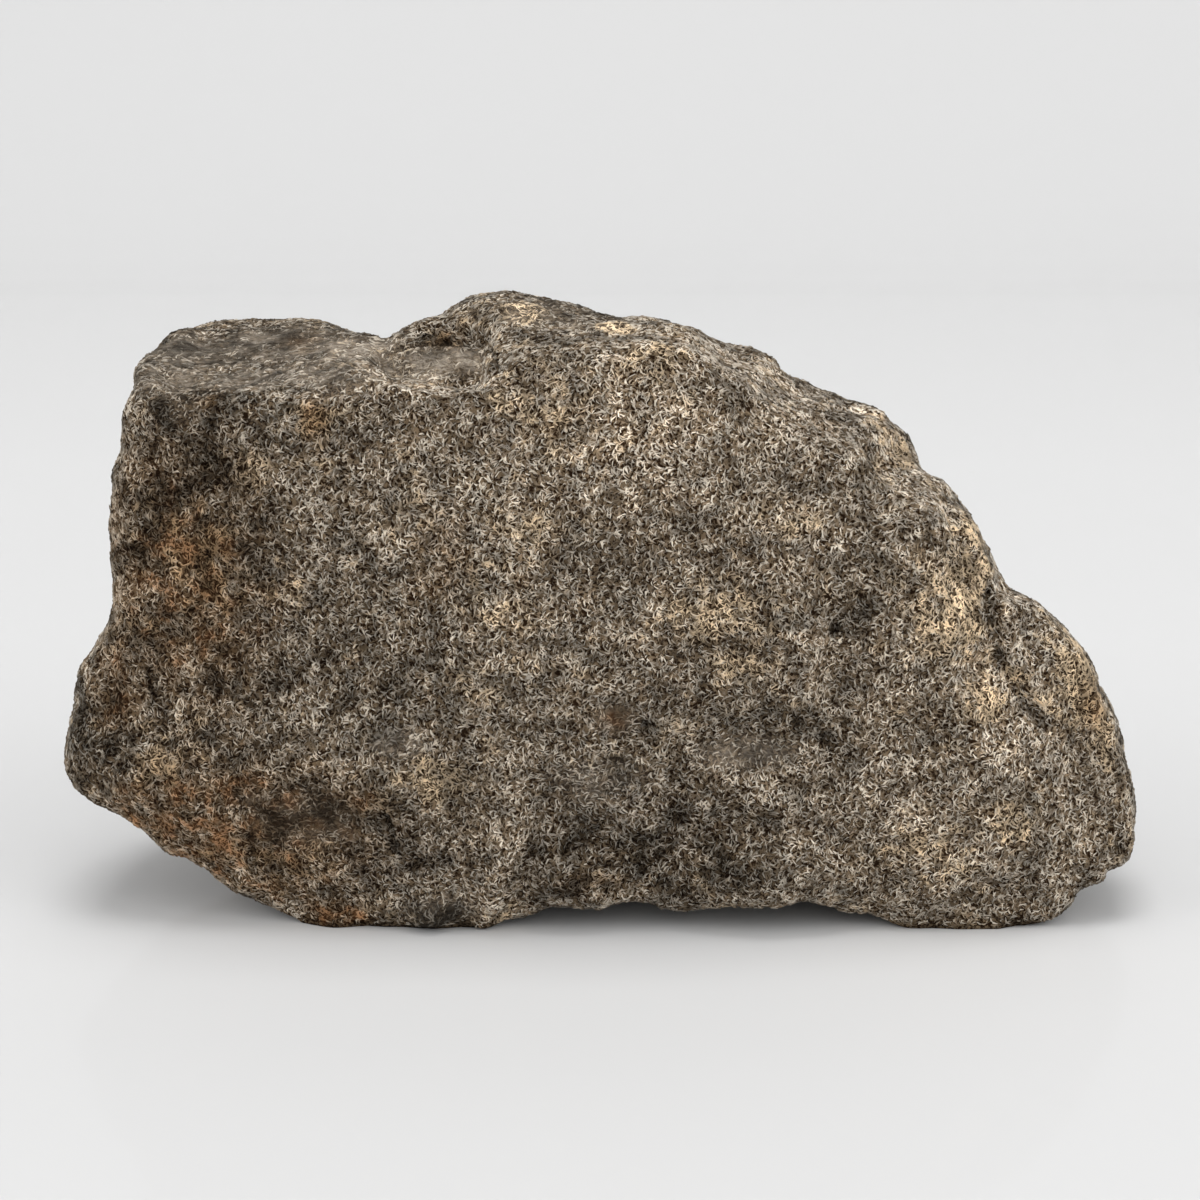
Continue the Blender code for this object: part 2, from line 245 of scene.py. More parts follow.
# %% Helpers that read the mesh
def points_of(piece):
    flat = np.empty(len(piece.data.vertices) * 3)
    piece.data.vertices.foreach_get("co", flat)
    return flat.reshape(-1, 3)


def facings_of(piece):
    flat = np.empty(len(piece.data.vertices) * 3)
    piece.data.vertex_normals.foreach_get("vector", flat)
    return flat.reshape(-1, 3)


def tree_of(piece):
    corners = [tuple(polygon.vertices) for polygon in piece.data.polygons]
    return BVHTree.FromPolygons(points_of(piece).tolist(), corners)


def squared_distance(points, middle, half_width, half_height):
    """How far each point is from a place on the stone, squared: 1 at the given half sizes."""
    radii = np.array([half_width, max(half_width, half_height), half_height]) * MM
    return (((points - np.array(middle)) / radii) ** 2).sum(1)


def nearness(points, middle, half_width, half_height):
    """1 at a place on the stone, falling smoothly to 0 at the given distances from it."""
    return np.clip(1 - squared_distance(points, middle, half_width, half_height), 0, None) ** 2


# %% Scrape the broad planes: pixel, half width and half height in mm, how flat
PLANES = [
    ("top of the ledge", 265, 352, 6.0, 1.6, 0.75),
    ("face under the ledge", 230, 500, 4.5, 4.5, 0.55),
    ("left of the face", 330, 660, 5.0, 4.0, 0.45),
    ("lower left", 200, 760, 4.5, 3.0, 0.45),
    ("upper middle", 590, 440, 5.5, 3.6, 0.45),
    ("top of the peak", 560, 318, 4.0, 1.2, 0.25),
    ("upper right", 800, 490, 4.5, 3.0, 0.50),
    ("right of the middle", 700, 640, 4.5, 4.0, 0.35),
    ("lobe", 1040, 740, 3.6, 4.5, 0.50),
    ("lower right", 900, 820, 5.0, 3.0, 0.40),
    ("over the arch", 700, 850, 5.0, 2.4, 0.45),
    ("shelf in the nook", 440, 366, 2.6, 0.6, 0.80),
    ("wall behind the shelf", 440, 338, 2.4, 0.8, 0.70),
]
SAME_WAY = 0.70  # how alike two directions must be to belong to one plane

skin = made_plain(skin, "stone_form")
surface = tree_of(skin)
points = points_of(skin)
facings = facings_of(skin)
for name, across, down, half_width, half_height, flatness in PLANES:
    middle, _ = seen_at(surface, across, down)
    near = np.clip(1 - squared_distance(points, middle, half_width, half_height) ** 2, 0, 1)
    mean_way = (facings * near[:, None]).sum(0)
    mean_way /= np.linalg.norm(mean_way)
    near *= facings @ mean_way > SAME_WAY
    centre = (points * near[:, None]).sum(0) / near.sum()
    spread_out = (points - centre) * near[:, None]
    plane_way = np.linalg.eigh(spread_out.T @ spread_out)[1][:, 0]
    off_plane = (points - centre) @ plane_way
    points -= (off_plane * near * flatness)[:, None] * plane_way
    print(name, "moved by up to", round(float(np.abs(off_plane * near * flatness).max()) / MM, 2), "mm")

# %% True the outline: pixel, half width and half height, then how far right, up and nearer, in mm
OUTLINE = [
    ("left end of the ledge", 160, 352, 2.4, 1.8, -0.12, 0.34, 0.0),
    ("tip of the ledge", 144, 372, 1.0, 1.0, -0.20, 0.20, 0.0),
    ("corner of the ledge", 186, 336, 1.2, 1.0, 0.0, 0.20, 0.0),
    ("back of the ledge", 256, 318, 2.4, 1.4, 0.0, -0.20, 0.0),
    ("saddle beside the notch", 384, 345, 1.9, 1.3, 0.0, 0.40, 0.0),
    ("over the nook", 447, 312, 1.1, 1.2, 0.0, -0.22, 0.0),
    ("top of the peak", 530, 296, 2.6, 1.3, 0.0, -0.15, 0.0),
    ("end of the peak", 670, 325, 1.8, 1.2, 0.0, 0.20, 0.0),
    ("bump on the shoulder", 740, 340, 2.2, 1.6, 0.0, -0.66, 0.0),
    ("under the shoulder", 792, 382, 1.5, 1.1, 0.0, 0.18, 0.0),
    ("bump further down", 855, 402, 1.5, 1.1, 0.0, -0.25, 0.0),
    ("corner of the right slope", 902, 442, 1.5, 1.5, 0.22, 0.32, 0.0),
    ("upper right edge", 967, 520, 1.1, 1.4, 0.24, 0.16, 0.0),
    ("right edge", 986, 556, 1.8, 2.6, 0.36, 0.20, 0.0),
    ("edge over the lobe", 1036, 614, 2.0, 1.8, 0.12, 0.26, 0.0),
    ("edge of the lobe", 1080, 670, 2.6, 3.6, 0.28, 0.18, 0.0),
    ("end of the lobe", 1114, 722, 1.4, 1.7, 0.22, 0.10, 0.0),
    ("left waist", 108, 566, 1.7, 2.4, 0.34, 0.0, 0.0),
    ("left corner", 103, 808, 1.4, 1.2, 0.15, 0.08, 0.0),
    ("lower edge on the left", 238, 886, 1.8, 1.3, -0.20, -0.42, 0.0),
    ("start of the arch", 526, 912, 1.2, 0.9, 0.0, -0.30, 0.0),
    ("end of the arch", 874, 914, 1.5, 1.1, 0.0, 0.28, 0.0),
    ("heel of the right foot", 1044, 908, 2.0, 1.3, 0.25, -0.42, 0.0),
    ("step in the right end", 1096, 877, 1.1, 0.9, 0.10, -0.32, 0.0),
    ("over the step", 1114, 874, 0.6, 0.6, -0.35, 0.05, 0.0),
    ("lip of the arch, left", 590, 880, 4.0, 2.6, 0.0, 0.0, 1.1),
    ("lip of the arch, right", 770, 880, 5.0, 2.6, 0.0, 0.0, 1.5),
]
FRONT_FROM = 4.0  # mm in front of the middle, from where a point comes nearer by the full step

front_half = np.clip(-points[:, 1] / MM / FRONT_FROM, 0, 1)
for name, across, down, half_width, half_height, right, up, nearer in OUTLINE:
    seen_across, seen_down = seen_as(points)
    off_across = (seen_across - across) * MM_PER_PIXEL / half_width
    off_down = (seen_down - down) * MM_PER_PIXEL / half_height
    near = np.clip(1 - off_across**2 - off_down**2, 0, None) ** 2
    points[:, 0] += near * right * MM
    points[:, 2] += near * up * MM
    points += (near * front_half * nearer * MM)[:, None] * np.array(away)
points[:, 2] = np.maximum(points[:, 2], 0.0)
skin.data.vertices.foreach_set("co", points.ravel())
skin.data.update()
print(len(OUTLINE), "places of the outline trued")

# %% [markdown]
# ## The crumbly relief
# Weathering ate the softer minerals, so the skin is a field of small lumps and pits at every
# size from a millimetre down. That follows a rule, so Geometry Nodes make it: a modifier moves
# each point along its normal by the sum of three noises. It fades out at the saw cut and
# at the feet, which stay flat. All the sizes are named inputs.


# %% The relief as a tree of nodes
RELIEF = {
    "Swell size": 2.60 * MM,
    "Swell height": 0.20 * MM,
    "Lump size": 1.00 * MM,
    "Lump height": 0.20 * MM,
    "Crumb size": 0.46 * MM,
    "Crumb height": 0.10 * MM,
    "Outset": 0.03 * MM,
    "Fade": 0.5 * MM,
    "Sawn depth": sawn_depth,
    "Seed": 7,
}
relief_tree, given = geometry_tree("crumbly_relief", RELIEF)
place = place_node(relief_tree, "GeometryNodeInputPosition").outputs[0]
normal = place_node(relief_tree, "GeometryNodeInputNormal").outputs["Normal"]


def wave_of(size_name, detail):
    """Noise of one size about zero, from -0.5 to 0.5."""
    frequency = maths(relief_tree, "DIVIDE", 1.0, given[size_name])
    inputs = {"Vector": place, "W": given["Seed"], "Scale": frequency, "Detail": detail}
    cloud = place_node(relief_tree, "ShaderNodeTexNoise", inputs, noise_dimensions="4D")
    return maths(relief_tree, "SUBTRACT", cloud.outputs[0], 0.5)


swells = maths(relief_tree, "MULTIPLY", wave_of("Swell size", 0.0), given["Swell height"])
lumps = maths(relief_tree, "MULTIPLY_ADD", wave_of("Lump size", 1.0), given["Lump height"], swells)
ridged = maths(relief_tree, "SUBTRACT", 0.12, maths(relief_tree, "ABSOLUTE", wave_of("Crumb size", 2.0)))
crumbs = maths(relief_tree, "MULTIPLY", ridged, given["Crumb height"])
height = maths(relief_tree, "ADD", lumps, crumbs)
height = maths(relief_tree, "MULTIPLY_ADD", height, 2.0, given["Outset"])

apart = place_node(relief_tree, "ShaderNodeSeparateXYZ", {0: place}).outputs
to_cut = maths(relief_tree, "SUBTRACT", given["Sawn depth"], apart["Y"])
to_cut = maths(relief_tree, "DIVIDE", to_cut, given["Fade"], clamp=True)
to_floor = maths(relief_tree, "DIVIDE", apart["Z"], given["Fade"], clamp=True)
height = maths(relief_tree, "MULTIPLY", height, maths(relief_tree, "MULTIPLY", to_cut, to_floor))

offset = scaled(relief_tree, normal, height)
moved = {"Geometry": given["Geometry"], "Offset": offset}
moved = place_node(relief_tree, "GeometryNodeSetPosition", moved)
place_node(relief_tree, "NodeGroupOutput", {"Geometry": moved.outputs[0]})

# %% Add the relief to the worked form
source = skin
use_tree(source, relief_tree, RELIEF)
skin = made_plain(source, "stone_skin")
print("skin:", triangles_in(skin), "triangles")

# %% [markdown]
# ## Small features, pressed in one by one
# A sculptor would now pick up a fine brush. Each stroke here has a name, the pixel where the
# photograph shows it, its half width and half height in millimetres and how far it stands out.
# A stroke moves the points near that place along the surface's own direction there. Ridges and
# cracks are lines through a few pixels, drawn on the surface with one half width.

# %% The strokes
STROKES = [
    ("filled nook", 440, 360, 2.6, 1.6, 0.62),
    ("lump on the left foot", 428, 914, 1.7, 1.0, 0.60),
    ("bump in the ring", 851, 630, 0.45, 0.40, 0.26),
    ("dark side of the ring", 834, 628, 0.34, 0.55, -0.45),
    ("right side of the ring", 867, 617, 0.32, 0.45, -0.30),
    ("groove over the pit", 857, 568, 0.35, 0.55, -0.20),
    ("dent under the pit", 848, 660, 1.0, 0.5, -0.14),
    ("deep dent", 826, 738, 0.8, 0.5, -0.22),
    ("smooth bump", 616, 720, 1.1, 0.9, 0.18),
    ("pit beside the bump", 646, 725, 0.4, 0.40, -0.28),
    ("hole over the left foot", 205, 790, 0.4, 0.4, -0.16),
    ("chip on the right slope", 900, 452, 0.7, 1.2, -0.22),
    ("crack in the right end", 1118, 850, 0.4, 0.7, -0.30),
    ("nick in the lower edge", 1046, 906, 0.5, 0.4, -0.22),
    ("crumb in the nook", 427, 342, 0.42, 0.36, 0.34),
    ("second crumb in the nook", 442, 337, 0.38, 0.34, 0.32),
    ("third crumb in the nook", 454, 344, 0.32, 0.30, 0.28),
    ("crumb beside the notch", 410, 342, 0.36, 0.30, 0.18),
    ("spot sunk in the ledge", 290, 365, 0.4, 0.3, -0.12),
]

# %% The ridges and cracks: pixels, half width and stand-out in mm, the mask it paints, strength
# Lines that paint the dark mask hold painted shade in their cracks, grooves and creases; lines that
# paint the pale mask hold painted highlights along ridges, brows and edges, and paler tone along the
# streaks.
LINES = [
    ("worn lip of the shelf", ((366, 368), (390, 378), (415, 385), (445, 388), (480, 384), (496, 370)),
     0.95, -0.27, "pale", 0.5),
    ("ridge under the ledge", ((146, 367), (180, 374), (214, 388), (242, 380), (270, 372)),
     0.34, 0.14, "pale", 0.8),
    ("streak on the ledge", ((184, 353), (225, 351), (253, 355), (268, 364)),
     0.30, 0.05, "pale", 0.6),
    ("streak right of it", ((266, 377), (298, 374), (316, 367), (345, 364)),
     0.30, 0.07, "pale", 0.6),
    ("light streak of the shelf", ((398, 362), (430, 361), (465, 358), (492, 360)),
     0.45, 0.05, "pale", 1.4),
    ("foot of the wall", ((400, 349), (412, 353), (430, 355), (452, 353)),
     0.20, -0.24, "dark", 0.9),
    ("crack beside the crumbs", ((468, 334), (472, 343), (466, 350)), 0.28, -0.32, "dark", 1.3),
    ("crack between the crumbs", ((434, 331), (435, 345)), 0.24, -0.20, "dark", 0.9),
    ("hollow at the end of the shelf", ((490, 350), (496, 358), (494, 366)),
     0.30, -0.32, "dark", 1.2),
    ("brow of the right slope", ((790, 404), (835, 408), (870, 412), (893, 419)),
     0.34, 0.18, "pale", 0.8),
    ("ridge on the right of the face", ((818, 548), (860, 547), (902, 552)),
     0.28, 0.18, "pale", 0.5),
    ("lower ridge on the right", ((914, 534), (955, 532)), 0.28, 0.16, "pale", 0.8),
    ("ridge under the pit", ((782, 635), (815, 642), (842, 645), (858, 653)),
     0.26, 0.20, "pale", 1.0),
    ("crease round the lobe", ((988, 592), (992, 630), (1004, 668), (1022, 700), (1042, 722)),
     0.45, -0.34, "dark", 0.8),
    ("brow of the lobe", ((1004, 600), (1012, 640), (1024, 672), (1044, 700)),
     0.45, 0.22, "pale", 0.8),
    ("tan band on the lobe", ((1010, 672), (1040, 700), (1075, 722), (1106, 735)),
     0.55, 0.08, "tan", 0.8),
    ("tan edge of the lobe", ((1062, 652), (1085, 690), (1103, 728), (1110, 758)),
     0.60, 0.06, "tan", 1.2),
    ("rib", ((520, 800), (512, 840), (496, 880), (482, 922)), 0.70, 0.20, "pale", 0.7),
    ("second rib", ((455, 848), (470, 880), (474, 915)), 0.45, 0.12, "pale", 0.4),
    ("groove beside the rib", ((545, 800), (536, 850), (520, 890)), 0.60, -0.18, "dark", 0.4),
    ("crack in the lower left", ((384, 812), (392, 826), (396, 852)), 0.28, -0.30, "dark", 1.2),
    ("line over the blue-grey patch", ((738, 728), (775, 733), (800, 736), (832, 738)),
     0.28, -0.16, "dark", 0.7),
    ("streaks at the lower left", ((250, 800), (300, 812), (350, 836)), 0.36, 0.10, "smooth", 0.5),
    ("step of the right slope", ((925, 480), (962, 520), (985, 562)), 0.45, 0.10, "tan", 0.5),
    ("edge over the arch, left", ((500, 917), (552, 902), (600, 900), (648, 892)),
     0.32, 0.10, "pale", 0.5),
    ("edge over the arch, right", ((680, 900), (740, 898), (826, 893), (880, 908)),
     0.32, 0.10, "pale", 0.4),
]


# %% Press them in
STEPS = 7  # between one pixel of a line and the next


def line_on(tree, pixels):
    """Points on the stone along a line through these pixels."""
    places = []
    for (across, down), (next_across, next_down) in zip(pixels, pixels[1:]):
        for step in range(STEPS + 1):
            share = step / STEPS
            pixel = across + (next_across - across) * share, down + (next_down - down) * share
            place, _ = seen_at(tree, *pixel)
            if place is not None:
                places.append(place)
    return np.array(places)


def line_nearness(points, places, half_width):
    """1 on the line, falling smoothly to 0 at the half width."""
    nearest = np.full(len(points), np.inf)
    for place in places:
        nearest = np.minimum(nearest, ((points - place) ** 2).sum(1))
    return np.clip(1 - nearest / (half_width * MM) ** 2, 0, None) ** 2


surface = tree_of(skin)
points = points_of(skin)
facings = facings_of(skin)
free = (points[:, 1] < sawn_depth - SAME_PLANE) & (points[:, 2] > SAME_PLANE)
missed = []
moves = np.zeros_like(points)
for name, across, down, half_width, half_height, stand_out in STROKES:
    middle, facing = seen_at(surface, across, down)
    if middle is None:
        missed.append(name)
        continue
    near = nearness(points, middle, half_width, half_height) * free
    moves += (near * stand_out * MM)[:, None] * np.array(facing)
for name, pixels, half_width, stand_out, _, _ in LINES:
    near = line_nearness(points, line_on(surface, pixels), half_width) * free
    moves += (near * stand_out * MM)[:, None] * facings
points += moves
points[:, 1] = np.minimum(points[:, 1], sawn_depth)
points[:, 2] = np.maximum(points[:, 2], 0.0)
skin.data.vertices.foreach_set("co", points.ravel())
skin.data.update()
print(len(STROKES) - len(missed), "strokes and", len(LINES), "lines made, missed:", missed)

# %% [markdown]
# ## Where each colour lies
# Rust grows where iron weathered out, pale tan dust sits in the hollows, and a few places were
# rubbed smooth. The dark and pale masks hold the stone's own darker and paler tone, and also
# painted shade in hollows, cracks and on faces turned from the light, and painted light on faces
# and ridges turned towards it. Like a painter's masks, each is a number from 0 to 1 kept on the
# mesh's points, which the material reads later. A patch has a ragged edge because its distance is
# stirred with noise. Where the photograph shows nothing, the same noises carry the colours round
# the back.

# %% Patches by name: pixel, half width and half height in mm, strength
PATCHES = {
    "tan": [
        ("pale spot on the peak", 524, 312, 1.25, 0.9, 1.8),
        ("pale spot beside it", 614, 328, 1.1, 0.6, 1.8),
        ("spot on the ledge", 347, 343, 0.6, 0.5, 1.6),
        ("under the second spot", 655, 360, 1.6, 1.8, 0.8),
        ("upper middle", 560, 420, 4.0, 3.0, 0.5),
        ("middle", 500, 610, 2.4, 3.0, 0.45),
        ("right of the middle", 720, 610, 3.4, 1.8, 0.8),
        ("above the pit", 790, 520, 1.8, 1.4, 0.6),
        ("between the pits", 745, 660, 1.8, 1.6, 0.7),
        ("chip on the right slope", 900, 452, 0.8, 1.5, 1.3),
        ("right edge", 975, 545, 1.6, 2.6, 1.0),
        ("beside the lobe", 955, 610, 2.6, 3.4, 0.9),
        ("edge of the lobe", 1085, 680, 1.6, 3.6, 1.3),
        ("on the lobe", 985, 700, 1.4, 1.4, 1.2),
        ("low on the right", 925, 850, 3.0, 2.2, 0.7),
        ("low on the lobe", 1020, 820, 1.6, 1.6, 0.8),
        ("over the rib", 440, 780, 2.0, 1.6, 0.9),
        ("left of the middle", 480, 690, 1.6, 1.6, 0.6),
        ("left side", 200, 560, 2.4, 3.0, 0.9),
        ("lower left", 155, 760, 1.8, 2.0, 0.8),
        ("above the left foot", 280, 860, 3.0, 1.6, 0.7),
        ("end of the shelf", 520, 400, 2.0, 1.4, 0.6),
        ("left, under the ledge", 315, 415, 1.4, 1.4, 1.0),
        ("left, lower down", 250, 470, 1.6, 1.6, 0.7),
        ("crumb in the nook", 427, 342, 0.45, 0.40, 1.6),
        ("second crumb in the nook", 442, 337, 0.40, 0.36, 1.6),
        ("third crumb in the nook", 454, 344, 0.36, 0.34, 1.4),
    ],
    "rust": [
        ("brown wash on the left", 180, 580, 5.0, 8.0, 0.85),
        ("brown wash at the lower left", 230, 830, 8.0, 4.5, 0.90),
        ("grains in the nook", 444, 340, 1.0, 0.6, 0.75),
        ("under the ledge", 314, 418, 0.8, 1.3, 0.8),
        ("bit under the ledge", 206, 402, 0.8, 0.6, 0.8),
        ("left side", 185, 540, 2.2, 3.0, 0.6),
        ("left corner", 120, 690, 1.8, 2.6, 0.9),
        ("lower left edge", 150, 820, 2.6, 1.8, 1.0),
        ("chamfer", 215, 850, 2.8, 1.6, 1.3),
        ("left foot", 335, 912, 2.0, 0.9, 1.4),
        ("above the left foot", 270, 880, 2.0, 1.4, 1.0),
        ("middle of the left", 205, 790, 2.2, 1.8, 0.9),
        ("under the crack", 360, 800, 1.5, 1.2, 0.8),
        ("above the arch", 590, 885, 2.0, 0.8, 0.6),
        ("edge of the lobe", 1095, 705, 0.8, 1.6, 0.6),
        ("face, left of the middle", 440, 560, 1.6, 2.4, 0.45),
        ("bump in the middle", 616, 720, 1.0, 0.8, 0.9),
    ],
    # The dark patches are partly the stone's own darker tone and partly painted shade: under the ledge,
    # in the nook, in pits and dents, over the arch and on the lower and left faces, which turn from the
    # light.
    "dark": [
        ("ledge", 230, 350, 5.5, 2.4, 0.50),
        ("left of the face", 185, 500, 6.0, 6.0, 0.85),
        ("left of the face, lower", 180, 680, 6.0, 6.0, 0.75),
        ("left corner", 105, 740, 3.4, 4.0, 1.0),
        ("low on the left", 280, 830, 8.0, 4.0, 0.60),
        ("low in the middle", 620, 850, 9.0, 3.6, 0.62),
        ("peak", 560, 322, 5.0, 1.4, 0.40),
        ("wall behind the shelf", 440, 342, 2.6, 0.7, 1.05),
        ("middle of the left", 330, 600, 5.0, 6.0, 0.30),
        ("band under the ledge", 190, 420, 3.4, 2.0, 0.95),
        ("band, further right", 280, 402, 2.8, 1.0, 0.7),
        ("band of grains on the peak", 570, 352, 2.4, 0.7, 0.7),
        ("band of the slope", 700, 372, 3.0, 0.9, 0.5),
        ("top of the slope", 850, 430, 2.4, 0.9, 0.4),
        ("left side", 150, 480, 1.8, 2.6, 0.5),
        ("left middle", 290, 520, 2.2, 2.0, 0.3),
        ("over the blue-grey", 350, 690, 3.0, 1.6, 0.5),
        ("dark spot on the left", 300, 790, 2.2, 1.0, 0.35),
        ("left of the ring", 834, 628, 0.4, 0.5, 1.6),
        ("dark round the pit", 850, 598, 2.4, 1.6, 0.45),
        ("groove over the pit", 857, 568, 0.5, 0.5, 0.6),
        ("deep dent", 826, 738, 0.9, 0.6, 0.8),
        ("round the blue-grey patch", 790, 720, 3.4, 1.2, 0.45),
        ("pit beside the bump", 646, 725, 0.5, 0.4, 1.0),
        ("left foot", 430, 920, 2.4, 0.8, 0.8),
        ("beside the rib", 560, 840, 2.0, 2.0, 0.4),
        ("over the arch", 740, 880, 4.4, 1.0, 0.5),
        ("right end", 1118, 850, 0.5, 0.7, 0.9),
    ],
    # The pale patches are partly the stone's own paler tone, as on the spots, and partly painted light:
    # on the upper middle and the right side, which face the light, and on the shelf and the ledge beside
    # the notch.
    "pale": [
        ("upper middle", 630, 440, 5.5, 5.0, 0.85),
        ("spot on the peak", 524, 312, 1.15, 0.8, 1.6),
        ("spot beside it", 614, 328, 1.0, 0.55, 1.6),
        ("spot on the ledge", 347, 343, 0.6, 0.5, 1.2),
        ("under the shelf", 480, 420, 3.0, 2.0, 0.35),
        ("column in the middle", 510, 600, 2.0, 5.0, 0.60),
        ("middle", 640, 600, 3.5, 3.4, 0.45),
        ("lobe", 1020, 700, 3.8, 5.4, 0.72),
        ("right half", 950, 640, 4.0, 4.8, 0.62),
        ("lower right", 930, 830, 5.5, 3.4, 0.85),
        ("shelf", 440, 363, 3.0, 1.0, 1.3),
        ("start of the shelf", 402, 366, 1.6, 0.9, 1.0),
        ("in front of the shelf", 460, 374, 1.6, 0.7, 0.9),
        ("ledge beside the notch", 355, 352, 2.6, 1.0, 0.7),
        ("patch on the ridge", 400, 545, 1.4, 1.2, 0.5),
        ("blue-grey patch", 745, 755, 2.8, 1.1, 0.5),
        ("left, lower down", 240, 640, 2.4, 1.6, 0.3),
    ],
    "smooth": [
        ("ledge, left", 190, 350, 3.0, 1.6, 1.1),
        ("ledge, middle", 270, 345, 4.0, 2.0, 1.1),
        ("ledge, right", 350, 350, 3.0, 1.6, 1.0),
        ("front of the ledge, left", 170, 380, 2.4, 1.3, 0.9),
        ("front of the ledge, middle", 245, 380, 2.8, 1.2, 0.9),
        ("front of the ledge, right", 330, 372, 2.8, 1.2, 0.8),
        ("beside the shelf", 400, 372, 2.4, 1.0, 0.7),
        ("under the ledge", 170, 400, 2.0, 1.4, 0.25),
        ("peak's top", 560, 312, 4.0, 1.0, 0.5),
        ("shelf", 440, 362, 2.8, 0.8, 1.1),
        ("blue-grey patch", 745, 752, 2.4, 0.9, 0.65),
        ("blue-grey patch on the left", 398, 745, 1.4, 0.8, 0.7),
        ("smooth bump", 616, 720, 1.1, 0.8, 0.8),
        ("left foot", 440, 915, 2.0, 0.9, 0.6),
        ("smear at the lower left", 300, 820, 2.8, 1.6, 0.6),
        ("smear over the rib", 600, 780, 2.4, 1.4, 0.5),
    ],
}


# %% Paint the masks on the points
def noise_over(points, size, place):
    """Smooth noise from -1 to 1 at each point; the place picks one part of the noise."""
    where = Vector(place)
    return np.array([noise.noise(Vector(point) / (size * MM) + where) for point in points])


surface = tree_of(skin)
stir = noise_over(points, 0.9, (5.1, 2.2, 8.3)) + 0.6 * noise_over(points, 0.45, (1.7, 9.4, 3.1))
slow = noise_over(points, 6.5, (3.3, 7.9, 1.2))
patchy = noise_over(points, 2.6, (8.8, 0.4, 6.1))
rusty = noise_over(points, 4.2, (0.9, 6.6, 2.7))

HIDDEN_FROM, HIDDEN_OVER = -1.0, 3.0  # mm along Y, over which the stone turns out of the photograph
hidden = np.clip((points[:, 1] / MM - HIDDEN_FROM) / HIDDEN_OVER, 0, 1)
masks = {
    "tan": np.clip(patchy * 1.3 - 0.15, 0, 1) * 0.6,
    "rust": np.clip(rusty * 1.5 - 0.45, 0, 1) * hidden,
    "dark": np.clip(-patchy * 1.2 - 0.2, 0, 1) * 0.6,
    "pale": np.clip(slow * 1.2, 0, 1) * 0.3,
    "smooth": np.clip(slow * 1.4 - 0.35, 0, 1) * hidden * 0.7,
}

# %% Painted shade: darken what turns away from the camera, most along the outline
SIDE_ON = 0.40  # by how far the skin faces the camera: 1 is straight at it, 0 is edge on
TURNED_AWAY_SHADE = 0.45
OUTLINE_AT, OUTLINE_OVER = 0.05, 0.30  # by the same measure

to_camera = np.array(camera_place) - points
to_camera /= np.linalg.norm(to_camera, axis=1)[:, None]
towards_camera = (facings_of(skin) * to_camera).sum(1)
turned_away = np.clip((SIDE_ON - towards_camera) / SIDE_ON, 0, 1)
outline_shade = np.clip(1 - np.abs(towards_camera - OUTLINE_AT) / OUTLINE_OVER, 0, 1)
# Both go into the dark mask as painted shade.
masks["dark"] = np.maximum(masks["dark"], np.maximum(TURNED_AWAY_SHADE * turned_away, outline_shade))

# %% Lay the patches and the lines over the noises
SPREAD, RAGGED = 1.25, 0.9  # a ragged patch needs more room than an even one
LINE_SPREAD = 1.3

for mask, patches in PATCHES.items():
    for name, across, down, half_width, half_height, strength in patches:
        middle, _ = seen_at(surface, across, down)
        if middle is None:
            print("missed:", mask, name)
            continue
        near = nearness(points, middle, half_width * SPREAD, half_height * SPREAD)
        ragged = np.clip(near * (1.0 + RAGGED * stir), 0, 1) * strength
        masks[mask] = np.maximum(masks[mask], ragged)
for name, pixels, half_width, _, mask, strength in LINES:
    near = line_nearness(points, line_on(surface, pixels), half_width * LINE_SPREAD)
    masks[mask] = np.maximum(masks[mask], near * strength)
for mask in masks:
    values = skin.data.attributes.new(mask, "FLOAT", "POINT")
    values.data.foreach_set("value", np.clip(masks[mask], 0, 1))
    print(mask, "covers", round(float((masks[mask] > 0.3).mean()) * 100), "% of the points")

# %% [markdown]
# ## The finish of the weathered skin
# Seen close, the skin is a felt of thin, pale, curved grains over dark brown ground. Thin curved
# lines are where a smooth noise crosses its middle value, so the finest grains are such lines on
# stirred coordinates, with pores between them painted near black as shade. The masks then tint the
# grains tan or rust, darken or lighten the stone, partly with painted shade and painted light, or
# rub the grains away. The same pattern drives the bump, so each pale grain also stands up and
# catches the light. Everything reads Object coordinates, in millimetres.


# %% Helpers for patterns in a material
def start_finish(material):
    """Gives the material's tree, its shader and Object coordinates in millimetres."""
    material.use_nodes = True
    tree = material.node_tree
    shader = tree.nodes["Principled BSDF"]
    coordinates = place_node(tree, "ShaderNodeTexCoord").outputs["Object"]
    return tree, shader, scaled(tree, coordinates, 1 / MM)


def cloud(tree, vector, per_mm, detail=0.0, rough=0.5):
    """Noise texture; gives its value, around 0.5."""
    inputs = {"Vector": vector, "Scale": per_mm, "Detail": detail, "Roughness": rough}
    return place_node(tree, "ShaderNodeTexNoise", inputs).outputs[0]


def stirred(tree, vector, per_mm, far):
    """Coordinates pushed about by noise."""
    inputs = {"Vector": vector, "Scale": per_mm, "Detail": 1.0}
    push = place_node(tree, "ShaderNodeTexNoise", inputs).outputs["Color"]
    push = place_node(tree, "ShaderNodeVectorMath", {0: push, 1: (0.5, 0.5, 0.5)}, operation="SUBTRACT")
    push = scaled(tree, push.outputs[0], far)
    return place_node(tree, "ShaderNodeVectorMath", {0: vector, 1: push}, operation="ADD").outputs[0]


def ranged(tree, value, low, high, to_low=0.0, to_high=1.0):
    """Maps low..high to to_low..to_high with soft ends."""
    inputs = {"Value": value, "From Min": low, "From Max": high, "To Min": to_low, "To Max": to_high}
    kind = "ShaderNodeMapRange"
    return place_node(tree, kind, inputs, interpolation_type="SMOOTHSTEP").outputs[0]


